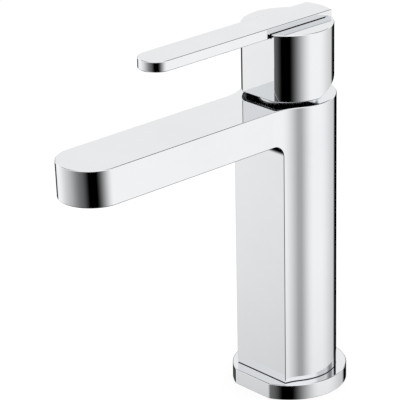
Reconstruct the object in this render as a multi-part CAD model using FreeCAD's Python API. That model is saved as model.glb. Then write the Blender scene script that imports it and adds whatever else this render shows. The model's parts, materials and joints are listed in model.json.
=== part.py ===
"""Single-lever basin mixer with a flat-fronted column, a straight spout and a flat lever handle.

Frame, in millimetres: Z is up, the deck is the plane Z = 0, the Z axis is the axis of the column and
of the cartridge, and the spout and the lever point along -Y. Screw threads are drawn as plain
cylinders at their nominal diameter.
"""
import FreeCAD
import Part
import math
import os

Vector = FreeCAD.Vector

# ---- driving dimensions: outside shape ----
COLUMN_R = 21.25
COLUMN_FRONT_Y = -17.8
PLATE_R = 25.8
PLATE_FRONT_Y = -23.5
PLATE_CORNER_R = 2.5
PLATE_THICKNESS = 7.2
DECK_PASSAGE_R = 15.0
BODY_TOP = 137.0
SPOUT_HALF_WIDTH = 14.75
SPOUT_THICKNESS = 16.3
SPOUT_REACH = 112.5
SHOULDER_Y = -17.2
SHOULDER_BLEND_R = 25.0
UNDERSIDE_BLEND_R = 5.0
HUB_R = 20.2
HUB_FRONT_Y = -17.7
HUB_BOTTOM = 138.9
HUB_TOP = 169.1
LEVER_HALF_WIDTH = 7.8
LEVER_THICKNESS = 4.7
LEVER_TOP = 171.8
LEVER_TIP_Y = -75.7
LEVER_BACK_R = 20.7
LEVER_SLOT_HALF_WIDTH = 8.4
EDGE_ROUNDING = 0.4

# ---- driving dimensions: movement ----
LIFT_DEG = 22.0
SWIVEL_DEG = 50.0
PIVOT_Z = 139.5
BALL_Z = 125.0

# ---- driving dimensions: walls and waterways ----
HUB_WALL = 2.2
HOSE_CHAMBER_R = 15.5
HOSE_CHAMBER_Y = 2.0
HOSE_CHAMBER_TOP = 88.0
SPIGOT_R = 17.2
SPIGOT_DEPTH = 3.6
HOSE_PORT_R = 5.0
HOSE_PORT_X = 7.5
HOSE_PORT_DEPTH = 12.0
STUD_HOLE_R = 4.0
STUD_BOSS_R = 6.2
STUD_Y = 10.9
STUD_BOSS_FROM = 10.0
STUD_BOSS_TO = 26.0
SEAL_INNER_R = 19.5
SEAL_OUTER_R = 21.9
SEAL_THICKNESS = 1.6
RISER_R = 4.0
RISER_Y = -11.2
RISER_FLOOR = 111.5
THROAT_TOP = 126.5
SPOUT_WALL = 2.6
SPOUT_CAVITY_FROM_Y = -23.0
SPOUT_CAVITY_TO_Y = -98.0
INLET_X = 3.6
INLET_Y = -2.6
INLET_R = 1.7
OUTLET_Y = 1.2
OUTLET_R = 1.6

# ---- driving dimensions: 25 mm ceramic cartridge ----
CHAMBER_FLOOR = 110.5
CAP_TOP = 116.5
FIXED_DISC_TOP = 119.5
WATER_FILM = 0.05
MOVING_DISC_TOP = 122.5
CARRIER_TOP = 127.3
FLANGE_FROM = 127.6
FLANGE_TO = 129.4
HOUSING_PLATE_FROM = 129.6
HOUSING_SHOULDER = 132.0
COLLAR_TOP = 141.8
LIMIT_RING_TOP = 143.8
TURRET_TOP = 144.0
CHAMBER_R = 12.6
HOUSING_R = 12.5
HOUSING_INNER_R = 11.3
COLLAR_R = 9.4
TURRET_R = 7.9
TURRET_SLOT_FRONT_Y = -7.0
TURRET_SLOT_BACK_Y = 6.0
FLANGE_R = 11.0
CAP_FLANGE = 1.5
CAP_RIM = 1.0
CAP_WAIST_R = 10.8
PEG_X = 7.0
PEG_Y = 6.0
PEG_R = 1.4
PEG_LENGTH = 2.0
INLET_SEAL_R = 2.9
DISC_SEAL_R = 2.5
SEAL_DEPTH = 1.0
GROOVE_FROM = 130.0
GROOVE_TO = 131.4
GROOVE_R = 11.3
RAIL_FROM_X = 7.5
RAIL_TO_X = 8.8
RAIL_HALF_LENGTH = 6.5
RAIL_BOTTOM = 124.5
NUT_THREAD_R = 14.0
NUT_HEX_TOP = 140.4
NUT_ACROSS_FLATS = 22.0
LIMIT_RING_R = 10.8
LIMIT_RING_BORE_R = 8.3
LIMIT_SKIRT_BOTTOM = 140.6
LIMIT_WINDOW_R = 9.4
LUG_TIP_Y = 9.0
LUG_HALF_WIDTH = 0.9
LUG_FROM = 142.1
LUG_TO = 143.6
WINDOW_MARGIN_DEG = 8.0
COVER_R = 14.7
COVER_WALL = 0.9
COVER_SHOULDER = 141.5
COVER_TOP_R = 12.5
COVER_TOP = 147.0
COVER_OPENING_R = 9.0
STEM_HALF = 3.5
STEM_TOP = 163.8
STEM_SQUARE_FROM = 134.0
STEM_ARM_R = 1.6
BALL_R = 2.1
BALL_GAP = 0.4
PIN_R = 1.25
PIN_HALF_LENGTH = 7.3
FIXED_DISC_R = 10.9
DISC_R = 8.2
DISC_OFFSET = 2.7
CARRIER_HALF_WIDTH = 7.2
CARRIER_FLOOR = 122.8
RECESS_R = 4.3
RECESS_Y = 3.9
RECESS_TOP = 121.2
DRIVE_PEG_X = 4.8
DRIVE_PEG_Y = 6.4
DRIVE_PEG_R = 1.2
DRIVE_PEG_BOTTOM = 121.4

# ---- driving dimensions: handle fastening ----
RELIEF_FROM_Y = -0.7
LEVER_SCREW_KEY = 2.5
GRUB_SCREW_KEY = 2.5
BOSS_R = 8.0
BOSS_BOTTOM = 152.0
ROOF_UNDERSIDE = 164.0
GRUB_SCREW_Z = 157.0
GRUB_SCREW_R = 2.5
GRUB_SCREW_LENGTH = 5.5
PLUG_R = 3.5
PLUG_HOLE_DEPTH = 4.4
LEVER_SCREW_Y = 11.8
LEVER_SCREW_R = 2.0
LEVER_SCREW_HEAD_R = 3.3
LEVER_SCREW_HEAD = 2.4
LEVER_SCREW_TOP = 170.6

# ---- driving dimensions: aerator ----
AERATOR_R = 12.0
AERATOR_BORE_TOP = 131.0
AERATOR_RECESS = 0.3
AERATOR_LENGTH = 8.2
AERATOR_WALL = 1.8
AERATOR_LIP_R = 8.8
AERATOR_LIP = 1.2
SCREEN_PITCH = 2.2
SCREEN_WIRE = 0.5
NOTCH_HALF_WIDTH = 1.2
JET_R = 0.6
JET_CIRCLES = [(3.5, 6), (6.8, 12)]

# ---- clearances ----
FIT_GAP = 0.1
THREAD_GAP = 0.05
RUNNING_GAP = 0.08

# ---- sizes that follow from the ones above ----
SPOUT_BOTTOM = BODY_TOP - SPOUT_THICKNESS
LEVER_BOTTOM = LEVER_TOP - LEVER_THICKNESS
SOCKET_HALF = STEM_HALF + THREAD_GAP
INLETS = [(-INLET_X, INLET_Y), (INLET_X, INLET_Y)]
ALL_PORTS = INLETS + [(0.0, OUTLET_Y)]


def cylinder(radius, z_from, z_to, x=0.0, y=0.0):
    return Part.makeCylinder(radius, z_to - z_from, Vector(x, y, z_from))


def ring(outer_r, inner_r, z_from, z_to, x=0.0, y=0.0):
    return cylinder(outer_r, z_from, z_to, x, y).cut(cylinder(inner_r, z_from, z_to, x, y))


def block(half_width, y_from, y_to, z_from, z_to):
    corner = Vector(-half_width, y_from, z_from)
    return Part.makeBox(2 * half_width, y_to - y_from, z_to - z_from, corner)


def along_y(radius, y_from, y_to, z):
    return Part.makeCylinder(radius, y_to - y_from, Vector(0, y_from, z), Vector(0, 1, 0))


def along_x(radius, x_from, x_to, y, z):
    return Part.makeCylinder(radius, x_to - x_from, Vector(x_from, y, z), Vector(1, 0, 0))


def cone(bottom_r, top_r, z_from, z_to):
    return Part.makeCone(bottom_r, top_r, z_to - z_from, Vector(0, 0, z_from))


def o_ring(centre_r, section_r, z):
    return Part.makeTorus(centre_r, section_r, Vector(0, 0, z))


def prism(edges, z_from, z_to):
    face = Part.Face(Part.Wire(edges))
    solid = face.extrude(Vector(0, 0, z_to - z_from))
    solid.translate(Vector(0, 0, z_from))
    return solid


def hexagon(across_flats, z_from, z_to, y=0.0):
    corner_r = across_flats / math.sqrt(3)
    corners = []
    for step in range(7):
        angle = math.radians(60 * step)
        corners.append(Vector(corner_r * math.cos(angle), y + corner_r * math.sin(angle), 0))
    return prism(Part.makePolygon(corners).Edges, z_from, z_to)


def line(a, b):
    return Part.makeLine(a, b)


def arc(a, via, b):
    return Part.Arc(a, via, b).toShape()


def mirrored(point):
    return Vector(-point.x, point.y, point.z)


def rounded_at(solid, height):
    """The solid with its edges that lie at this height broken by a small radius."""
    edges = []
    for edge in solid.Edges:
        box = edge.BoundBox
        if abs(box.ZMin - height) < FIT_GAP and abs(box.ZMax - height) < FIT_GAP:
            edges.append(edge)
    return solid.makeFillet(EDGE_ROUNDING, edges)


def stadium(half_width, back_y, tip_y, z_from, z_to):
    """A straight bar with a half-round tip, pointing along -Y."""
    back_right = Vector(half_width, back_y, 0)
    tip_right = Vector(half_width, tip_y, 0)
    tip = Vector(0, tip_y - half_width, 0)
    edges = [
        line(mirrored(back_right), mirrored(tip_right)),
        arc(mirrored(tip_right), tip, tip_right),
        line(tip_right, back_right),
        line(back_right, mirrored(back_right)),
    ]
    return prism(edges, z_from, z_to)


def column_side():
    """Where the spout's side would meet the column's tangent side, the tangent point, and the turn."""
    corner = Vector(SPOUT_HALF_WIDTH, SHOULDER_Y, 0)
    reach = math.hypot(corner.x, corner.y)
    tangent_angle = math.atan2(corner.y, corner.x) + math.acos(COLUMN_R / reach)
    tangent = Vector(COLUMN_R * math.cos(tangent_angle), COLUMN_R * math.sin(tangent_angle), 0)
    side_angle = math.atan2(tangent.x - corner.x, tangent.y - corner.y)
    return corner, tangent, side_angle


def body_block():
    """The body's plan, extruded: a round back whose sides flow through a hollow curve into the spout."""
    corner, tangent, side_angle = column_side()
    blend_length = SHOULDER_BLEND_R * math.tan(side_angle / 2)
    spout_end = Vector(corner.x, corner.y - blend_length, 0)
    side_end = corner + Vector(math.sin(side_angle), math.cos(side_angle), 0) * blend_length
    blend_centre = spout_end + Vector(SHOULDER_BLEND_R, 0, 0)
    half_turn = side_angle / 2
    blend_middle = blend_centre + Vector(-math.cos(half_turn), math.sin(half_turn), 0) * SHOULDER_BLEND_R
    tip_right = Vector(corner.x, -SPOUT_REACH, 0)
    tip = Vector(0, -SPOUT_REACH - corner.x, 0)
    edges = [
        arc(spout_end, blend_middle, side_end),
        line(side_end, tangent),
        arc(tangent, Vector(0, COLUMN_R, 0), mirrored(tangent)),
        line(mirrored(tangent), mirrored(side_end)),
        arc(mirrored(side_end), mirrored(blend_middle), mirrored(spout_end)),
        line(mirrored(spout_end), mirrored(tip_right)),
        arc(mirrored(tip_right), tip, tip_right),
        line(tip_right, spout_end),
    ]
    return prism(edges, PLATE_THICKNESS, BODY_TOP)


def space_under_spout():
    """What is cut from below the spout: it leaves the column's flat front and a hollow rounding."""
    tip_y = -2 * SPOUT_REACH
    blend_y = COLUMN_FRONT_Y - UNDERSIDE_BLEND_R
    blend_z = SPOUT_BOTTOM - UNDERSIDE_BLEND_R
    space = block(COLUMN_R, tip_y, COLUMN_FRONT_Y, PLATE_THICKNESS, blend_z)
    space = space.fuse(block(COLUMN_R, tip_y, blend_y, blend_z, SPOUT_BOTTOM))
    return space.fuse(along_x(UNDERSIDE_BLEND_R, -COLUMN_R, COLUMN_R, blend_y, blend_z))


def inlet_passage(side):
    """A drilled way from a hose port up to the cartridge's inlet."""
    start = Vector(side * HOSE_PORT_X, 0, HOSE_CHAMBER_TOP + HOSE_PORT_DEPTH - INLET_R)
    end = Vector(side * INLET_X, INLET_Y, CHAMBER_FLOOR)
    way = end - start
    sloping = Part.makeCylinder(INLET_R, way.Length, start, way)
    return sloping.fuse(cylinder(INLET_R, CHAMBER_FLOOR - INLET_R, CHAMBER_FLOOR, end.x, end.y))


def body_casting():
    outside = rounded_at(body_block(), BODY_TOP).cut(space_under_spout())
    outside = outside.fuse(
        cylinder(SPIGOT_R, PLATE_THICKNESS - SPIGOT_DEPTH, PLATE_THICKNESS, y=HOSE_CHAMBER_Y)
    )
    hose_chamber = cylinder(
        HOSE_CHAMBER_R, PLATE_THICKNESS - SPIGOT_DEPTH, HOSE_CHAMBER_TOP, y=HOSE_CHAMBER_Y
    )
    stud_boss = cylinder(STUD_BOSS_R, STUD_BOSS_FROM, STUD_BOSS_TO, y=STUD_Y)
    stud_boss = stud_boss.fuse(block(STUD_BOSS_R, STUD_Y, COLUMN_R, STUD_BOSS_FROM, STUD_BOSS_TO))
    hose_chamber = hose_chamber.cut(stud_boss)
    body = outside.cut(hose_chamber)
    body = body.cut(cylinder(STUD_HOLE_R, STUD_BOSS_FROM, STUD_BOSS_TO, y=STUD_Y))
    for side in (-1, 1):
        port = cylinder(
            HOSE_PORT_R, HOSE_CHAMBER_TOP, HOSE_CHAMBER_TOP + HOSE_PORT_DEPTH, side * HOSE_PORT_X
        )
        body = body.cut(port).cut(inlet_passage(side))
        peg_hole_x = side * PEG_X
        body = body.cut(
            cylinder(PEG_R + FIT_GAP, CHAMBER_FLOOR - PEG_LENGTH, CHAMBER_FLOOR, peg_hole_x, PEG_Y)
        )
    body = body.cut(cylinder(CHAMBER_R, CHAMBER_FLOOR, HOUSING_SHOULDER))
    body = body.cut(cylinder(NUT_THREAD_R, HOUSING_SHOULDER, BODY_TOP))
    body = body.cut(cylinder(RISER_R, RISER_FLOOR, THROAT_TOP, y=RISER_Y))
    cavity_floor = SPOUT_BOTTOM + SPOUT_WALL
    cavity_roof = BODY_TOP - SPOUT_WALL
    cavity_half = SPOUT_HALF_WIDTH - SPOUT_WALL
    throat = block(RISER_R, SPOUT_CAVITY_FROM_Y, RISER_Y, cavity_floor, THROAT_TOP)
    cavity = block(cavity_half, SPOUT_CAVITY_TO_Y, SPOUT_CAVITY_FROM_Y, cavity_floor, cavity_roof)
    tip_chamber = stadium(
        AERATOR_R - AERATOR_WALL, SPOUT_CAVITY_TO_Y, -SPOUT_REACH, AERATOR_BORE_TOP, cavity_roof
    )
    aerator_bore = cylinder(AERATOR_R, SPOUT_BOTTOM, AERATOR_BORE_TOP, y=-SPOUT_REACH)
    for hollow in (throat, cavity, tip_chamber, aerator_bore):
        body = body.cut(hollow)
    return body.removeSplitter()


def base_plate():
    """The deck rose: a disc with a flat front, a locating recess and a groove for its seal."""
    plate = cylinder(PLATE_R, 0, PLATE_THICKNESS)
    plate = plate.cut(block(PLATE_R, -PLATE_R, PLATE_FRONT_Y, 0, PLATE_THICKNESS))
    front_edges = []
    for edge in plate.Edges:
        upright = abs(edge.tangentAt(edge.FirstParameter).z) > 0.99
        if upright and edge.CenterOfMass.y < PLATE_FRONT_Y + PLATE_CORNER_R:
            front_edges.append(edge)
    plate = plate.makeFillet(PLATE_CORNER_R, front_edges)
    plate = rounded_at(plate, PLATE_THICKNESS)
    plate = plate.cut(cylinder(DECK_PASSAGE_R, 0, PLATE_THICKNESS))
    recess_floor = PLATE_THICKNESS - SPIGOT_DEPTH
    plate = plate.cut(
        cylinder(SPIGOT_R + FIT_GAP, recess_floor, PLATE_THICKNESS, y=HOSE_CHAMBER_Y)
    )
    return plate.cut(ring(SEAL_OUTER_R + FIT_GAP, SEAL_INNER_R - FIT_GAP, 0, SEAL_THICKNESS))


def base_seal_ring():
    return ring(SEAL_OUTER_R, SEAL_INNER_R, 0, SEAL_THICKNESS)


def cartridge_base_cap():
    """The cartridge's foot: two straight inlets, and an outlet that leaves through its waist."""
    cap = cylinder(HOUSING_R - FIT_GAP, CHAMBER_FLOOR, CHAMBER_FLOOR + CAP_FLANGE)
    cap = cap.fuse(cylinder(CAP_WAIST_R, CHAMBER_FLOOR + CAP_FLANGE, CAP_TOP - CAP_RIM))
    cap = cap.fuse(cylinder(HOUSING_R - FIT_GAP, CAP_TOP - CAP_RIM, CAP_TOP))
    for side in (-1, 1):
        cap = cap.fuse(cylinder(PEG_R, CHAMBER_FLOOR - PEG_LENGTH, CHAMBER_FLOOR, side * PEG_X, PEG_Y))
    for x, y in INLETS:
        cap = cap.cut(cylinder(INLET_R, CHAMBER_FLOOR, CAP_TOP, x, y))
        cap = cap.cut(cylinder(INLET_SEAL_R, CHAMBER_FLOOR, CHAMBER_FLOOR + SEAL_DEPTH, x, y))
    for x, y in ALL_PORTS:
        cap = cap.cut(cylinder(DISC_SEAL_R, CAP_TOP - SEAL_DEPTH, CAP_TOP, x, y))
    outlet_z = (CHAMBER_FLOOR + CAP_FLANGE + CAP_TOP - CAP_RIM) / 2
    cap = cap.cut(cylinder(OUTLET_R, outlet_z, CAP_TOP, y=OUTLET_Y))
    return cap.cut(along_y(OUTLET_R, OUTLET_Y, HOUSING_R, outlet_z))


def port_seals(ports, outer_r, z_from):
    """Flat rubber rings, one round each port, as separate solids of one set."""
    seals = []
    for x, y in ports:
        seals.append(ring(outer_r - THREAD_GAP, INLET_R, z_from, z_from + SEAL_DEPTH, x, y))
    return Part.Compound(seals)


def cartridge_inlet_seals():
    return port_seals(INLETS, INLET_SEAL_R, CHAMBER_FLOOR)


def disc_port_seals():
    return port_seals(ALL_PORTS, DISC_SEAL_R, CAP_TOP - SEAL_DEPTH)


def cartridge_housing():
    """The cartridge's shell: a skirt over the discs, a shoulder for the nut and a guiding collar."""
    housing = cylinder(HOUSING_R, CAP_TOP, HOUSING_SHOULDER)
    housing = housing.fuse(cylinder(COLLAR_R, HOUSING_SHOULDER, COLLAR_TOP))
    housing = housing.cut(cylinder(HOUSING_INNER_R, CAP_TOP, HOUSING_PLATE_FROM))
    housing = housing.cut(cylinder(TURRET_R + RUNNING_GAP, HOUSING_PLATE_FROM, COLLAR_TOP))
    return housing.cut(ring(HOUSING_R, GROOVE_R, GROOVE_FROM, GROOVE_TO))


def cartridge_o_ring():
    section_r = (CHAMBER_R - GROOVE_R) / 2 - THREAD_GAP
    return o_ring(GROOVE_R + THREAD_GAP + section_r, section_r, (GROOVE_FROM + GROOVE_TO) / 2)


def ceramic_disc_fixed():
    disc = cylinder(FIXED_DISC_R, CAP_TOP, FIXED_DISC_TOP)
    for x, y in ALL_PORTS:
        disc = disc.cut(cylinder(INLET_R, CAP_TOP, FIXED_DISC_TOP, x, y))
    return disc


def cartridge_nut():
    """The nut that holds the cartridge down: a threaded ring with a hexagon on top."""
    nut = cylinder(NUT_THREAD_R - THREAD_GAP, HOUSING_SHOULDER, BODY_TOP)
    nut = nut.fuse(hexagon(NUT_ACROSS_FLATS, BODY_TOP, NUT_HEX_TOP))
    return nut.cut(cylinder(COLLAR_R + FIT_GAP, HOUSING_SHOULDER, NUT_HEX_TOP))


def cartridge_cover():
    """The chromed cap over the nut: a sleeve, a cone and an opening for the stem."""
    cover = cylinder(COVER_R, BODY_TOP, COVER_SHOULDER)
    cover = cover.fuse(cone(COVER_R, COVER_TOP_R, COVER_SHOULDER, COVER_TOP))
    inner_r = COVER_R - COVER_WALL
    cover = cover.cut(cylinder(inner_r, BODY_TOP, COVER_SHOULDER))
    cover = cover.cut(cone(inner_r, COVER_TOP_R - COVER_WALL, COVER_SHOULDER, COVER_TOP - COVER_WALL))
    cover = cover.cut(cylinder(COVER_OPENING_R, COVER_SHOULDER, COVER_TOP))
    grip_r = NUT_ACROSS_FLATS / math.sqrt(3) + THREAD_GAP
    return cover.fuse(ring(inner_r, grip_r, BODY_TOP + COVER_WALL, NUT_HEX_TOP - COVER_WALL))


def temperature_limit_ring():
    """A fixed ring on the collar; the turret's lug swings in the window in its bore."""
    limiter = cylinder(LIMIT_RING_R, LIMIT_SKIRT_BOTTOM, LIMIT_RING_TOP)
    limiter = limiter.cut(cylinder(COLLAR_R + THREAD_GAP, LIMIT_SKIRT_BOTTOM, COLLAR_TOP))
    limiter = limiter.cut(cylinder(LIMIT_RING_BORE_R, COLLAR_TOP, LIMIT_RING_TOP))
    half_window = SWIVEL_DEG + WINDOW_MARGIN_DEG
    height = LIMIT_RING_TOP - COLLAR_TOP
    foot = Vector(0, 0, COLLAR_TOP)
    window = Part.makeCylinder(LIMIT_WINDOW_R, height, foot, Vector(0, 0, 1), 2 * half_window)
    window.rotate(foot, Vector(0, 0, 1), 90 - half_window)
    return limiter.cut(window)


def stem_turret():
    """The part that turns for the temperature: a slotted spindle, its foot flange and two rails."""
    turret = cylinder(TURRET_R, FLANGE_FROM, TURRET_TOP)
    turret = turret.fuse(cylinder(FLANGE_R, FLANGE_FROM, FLANGE_TO))
    turret = turret.fuse(block(LUG_HALF_WIDTH, TURRET_SLOT_BACK_Y, LUG_TIP_Y, LUG_FROM, LUG_TO))
    rails = block(RAIL_TO_X, -RAIL_HALF_LENGTH, RAIL_HALF_LENGTH, RAIL_BOTTOM, FLANGE_FROM)
    rails = rails.cut(block(RAIL_FROM_X, -RAIL_HALF_LENGTH, RAIL_HALF_LENGTH, RAIL_BOTTOM, FLANGE_FROM))
    turret = turret.fuse(rails)
    slot = block(STEM_HALF + FIT_GAP, TURRET_SLOT_FRONT_Y, TURRET_SLOT_BACK_Y, FLANGE_FROM, TURRET_TOP)
    turret = turret.cut(slot)
    return turret.cut(along_x(PIN_R + THREAD_GAP, -TURRET_R, TURRET_R, 0, PIVOT_Z))


def pivot_pin():
    return along_x(PIN_R, -PIN_HALF_LENGTH, PIN_HALF_LENGTH, 0, PIVOT_Z)


def cartridge_stem():
    """The rocking stem: a square shank, a thin arm and a ball that pushes the disc carrier."""
    stem = block(STEM_HALF, -STEM_HALF, STEM_HALF, STEM_SQUARE_FROM, STEM_TOP)
    stem = stem.fuse(cylinder(STEM_ARM_R, BALL_Z, STEM_SQUARE_FROM))
    stem = stem.fuse(Part.makeSphere(BALL_R, Vector(0, 0, BALL_Z)))
    return stem.cut(along_x(PIN_R + RUNNING_GAP, -STEM_HALF, STEM_HALF, 0, PIVOT_Z))


def disc_carrier():
    """The slide under the turret: it takes the stem's ball and drives the moving disc."""
    carrier = cylinder(DISC_R, MOVING_DISC_TOP, CARRIER_TOP, y=DISC_OFFSET)
    span = DISC_R + DISC_OFFSET
    carrier = carrier.common(block(CARRIER_HALF_WIDTH, -span, span, MOVING_DISC_TOP, CARRIER_TOP))
    pocket_half = BALL_R + BALL_GAP
    carrier = carrier.cut(block(pocket_half, -pocket_half, pocket_half, CARRIER_FLOOR, CARRIER_TOP))
    for side in (-1, 1):
        x = side * DRIVE_PEG_X
        carrier = carrier.fuse(cylinder(DRIVE_PEG_R, DRIVE_PEG_BOTTOM, MOVING_DISC_TOP, x, DRIVE_PEG_Y))
    return carrier


def ceramic_disc_moving():
    disc_bottom = FIXED_DISC_TOP + WATER_FILM
    disc = cylinder(DISC_R, disc_bottom, MOVING_DISC_TOP, y=DISC_OFFSET)
    disc = disc.cut(cylinder(RECESS_R, disc_bottom, RECESS_TOP, y=RECESS_Y))
    for side in (-1, 1):
        x = side * DRIVE_PEG_X
        disc = disc.cut(
            cylinder(DRIVE_PEG_R + THREAD_GAP, DRIVE_PEG_BOTTOM, MOVING_DISC_TOP, x, DRIVE_PEG_Y)
        )
    return disc


def handle_hub():
    """The handle's skirt: a drum with a flat front, hollow below, its rear foot cut away for the lift."""
    hub = cylinder(HUB_R, HUB_BOTTOM, HUB_TOP)
    hub = rounded_at(hub.cut(block(HUB_R, -HUB_R, HUB_FRONT_Y, HUB_BOTTOM, HUB_TOP)), HUB_TOP)
    inside = cylinder(HUB_R - HUB_WALL, HUB_BOTTOM, ROOF_UNDERSIDE)
    inside = inside.cut(block(HUB_R, -HUB_R, HUB_FRONT_Y + HUB_WALL, HUB_BOTTOM, ROOF_UNDERSIDE))
    hub = hub.cut(inside)
    hub = hub.fuse(cylinder(BOSS_R, BOSS_BOTTOM, ROOF_UNDERSIDE))
    hub = hub.cut(block(SOCKET_HALF, -SOCKET_HALF, SOCKET_HALF, BOSS_BOTTOM, ROOF_UNDERSIDE))
    hub = hub.cut(rear_relief())
    hub = hub.cut(block(LEVER_SLOT_HALF_WIDTH, -HUB_R, HUB_R, LEVER_BOTTOM, HUB_TOP))
    for y in (-LEVER_SCREW_Y, LEVER_SCREW_Y):
        hub = hub.cut(cylinder(LEVER_SCREW_R + FIT_GAP, ROOF_UNDERSIDE, LEVER_BOTTOM, y=y))
    hub = hub.cut(along_y(GRUB_SCREW_R, 0, BOSS_R, GRUB_SCREW_Z))
    return hub.cut(along_y(PLUG_R, HUB_R - PLUG_HOLE_DEPTH, HUB_R, GRUB_SCREW_Z))


def rear_relief():
    """The wedge cut from the hub's rear foot, so that the lifted handle stays level with the body."""
    rise = 2 * HUB_R * math.tan(math.radians(LIFT_DEG))
    hinge = Vector(-HUB_R, RELIEF_FROM_Y, HUB_BOTTOM)
    far = hinge + Vector(0, 2 * HUB_R, 0)
    corners = [hinge, far, far + Vector(0, 0, rise), hinge]
    face = Part.Face(Part.makePolygon(corners))
    return face.extrude(Vector(2 * HUB_R, 0, 0))


def lever_blade():
    """The flat bar of the handle, with a round tip and a back end that follows the hub."""
    blade = stadium(LEVER_HALF_WIDTH, LEVER_BACK_R, LEVER_TIP_Y, LEVER_BOTTOM, LEVER_TOP)
    keep = cylinder(LEVER_BACK_R, LEVER_BOTTOM, LEVER_TOP)
    keep = keep.fuse(block(LEVER_BACK_R, 2 * LEVER_TIP_Y, 0, LEVER_BOTTOM, LEVER_TOP))
    blade = blade.common(keep).removeSplitter()
    blade = rounded_at(rounded_at(blade, LEVER_TOP), LEVER_BOTTOM)
    for y in (-LEVER_SCREW_Y, LEVER_SCREW_Y):
        blade = blade.cut(cylinder(LEVER_SCREW_R, LEVER_BOTTOM, LEVER_SCREW_TOP, y=y))
    return blade


def lever_screws():
    """The two cap screws that hold the blade to the hub's roof from below."""
    screws = []
    head_bottom = ROOF_UNDERSIDE - LEVER_SCREW_HEAD
    for y in (-LEVER_SCREW_Y, LEVER_SCREW_Y):
        screw = cylinder(LEVER_SCREW_R - THREAD_GAP, ROOF_UNDERSIDE, LEVER_SCREW_TOP - FIT_GAP, y=y)
        screw = screw.fuse(cylinder(LEVER_SCREW_HEAD_R, head_bottom, ROOF_UNDERSIDE, y=y))
        socket = hexagon(LEVER_SCREW_KEY, head_bottom, head_bottom + LEVER_SCREW_HEAD / 2, y=y)
        screws.append(screw.cut(socket))
    return Part.Compound(screws)


def handle_grub_screw():
    """The set screw that clamps the hub on the square stem."""
    end_y = STEM_HALF + GRUB_SCREW_LENGTH
    screw = along_y(GRUB_SCREW_R - THREAD_GAP, STEM_HALF, end_y, GRUB_SCREW_Z)
    socket = hexagon(GRUB_SCREW_KEY, -GRUB_SCREW_LENGTH / 2, 0)
    socket.rotate(Vector(0, 0, 0), Vector(1, 0, 0), -90)
    socket.translate(Vector(0, end_y, GRUB_SCREW_Z))
    return screw.cut(socket)


def screw_plug():
    """The small chromed plug that closes the screw's hole, flush with the hub's back."""
    plug = along_y(PLUG_R - THREAD_GAP, HUB_R - HUB_WALL - FIT_GAP, HUB_R, GRUB_SCREW_Z)
    return plug.common(cylinder(HUB_R, HUB_BOTTOM, HUB_TOP))


def aerator_housing():
    """The threaded ring in the spout's mouth, with an inner lip and two notches for its key."""
    bottom = SPOUT_BOTTOM + AERATOR_RECESS
    top = bottom + AERATOR_LENGTH
    bore_r = AERATOR_R - AERATOR_WALL
    housing = ring(AERATOR_R - THREAD_GAP, bore_r, bottom, top, y=-SPOUT_REACH)
    lip = ring(bore_r, AERATOR_LIP_R, bottom, bottom + AERATOR_LIP, y=-SPOUT_REACH)
    housing = housing.fuse(lip)
    notch_y = (AERATOR_R + AERATOR_LIP_R) / 2
    notch = block(NOTCH_HALF_WIDTH, -notch_y, notch_y, bottom, bottom + AERATOR_LIP)
    notch.translate(Vector(0, -SPOUT_REACH, 0))
    return housing.cut(notch)


def aerator_screen():
    """A rimmed mesh of crossing wires, carried by the housing's lip."""
    bottom = SPOUT_BOTTOM + AERATOR_RECESS + AERATOR_LIP
    top = bottom + SCREEN_WIRE
    rim_r = AERATOR_R - AERATOR_WALL - FIT_GAP
    mesh = ring(rim_r, AERATOR_LIP_R - SCREEN_WIRE, bottom, top)
    reach = AERATOR_LIP_R
    count = int(reach / SCREEN_PITCH)
    for step in range(-count, count + 1):
        wire = block(SCREEN_WIRE / 2, -reach, reach, bottom, top)
        wire.translate(Vector(step * SCREEN_PITCH, 0, 0))
        crossing = wire.copy()
        crossing.rotate(Vector(0, 0, 0), Vector(0, 0, 1), 90)
        mesh = mesh.fuse([wire, crossing])
    mesh = mesh.common(cylinder(rim_r, bottom, top))
    mesh.translate(Vector(0, -SPOUT_REACH, 0))
    return mesh.removeSplitter()


def aerator_insert():
    """The jet former: a plastic plug with two circles of fine holes."""
    bottom = SPOUT_BOTTOM + AERATOR_RECESS + AERATOR_LIP + SCREEN_WIRE
    top = SPOUT_BOTTOM + AERATOR_RECESS + AERATOR_LENGTH
    insert = cylinder(AERATOR_R - AERATOR_WALL - FIT_GAP, bottom, top)
    for circle_r, holes in JET_CIRCLES:
        for hole in range(holes):
            angle = 2 * math.pi * hole / holes
            x = circle_r * math.cos(angle)
            y = circle_r * math.sin(angle)
            insert = insert.cut(cylinder(JET_R, bottom, top, x, y))
    insert.translate(Vector(0, -SPOUT_REACH, 0))
    return insert


def aerator_gasket():
    bottom = SPOUT_BOTTOM + AERATOR_RECESS + AERATOR_LENGTH
    return ring(AERATOR_R - 2 * FIT_GAP, AERATOR_LIP_R, bottom, AERATOR_BORE_TOP, y=-SPOUT_REACH)


SUB_PARTS = [
    body_casting,
    base_plate,
    base_seal_ring,
    cartridge_base_cap,
    cartridge_inlet_seals,
    disc_port_seals,
    cartridge_housing,
    cartridge_o_ring,
    ceramic_disc_fixed,
    cartridge_nut,
    cartridge_cover,
    temperature_limit_ring,
    stem_turret,
    pivot_pin,
    cartridge_stem,
    disc_carrier,
    ceramic_disc_moving,
    handle_hub,
    lever_blade,
    lever_screws,
    handle_grub_screw,
    screw_plug,
    aerator_housing,
    aerator_screen,
    aerator_insert,
    aerator_gasket,
]

os.makedirs("parts", exist_ok=True)
for make in SUB_PARTS:
    make().exportStep("parts/" + make.__name__ + ".step")
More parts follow.
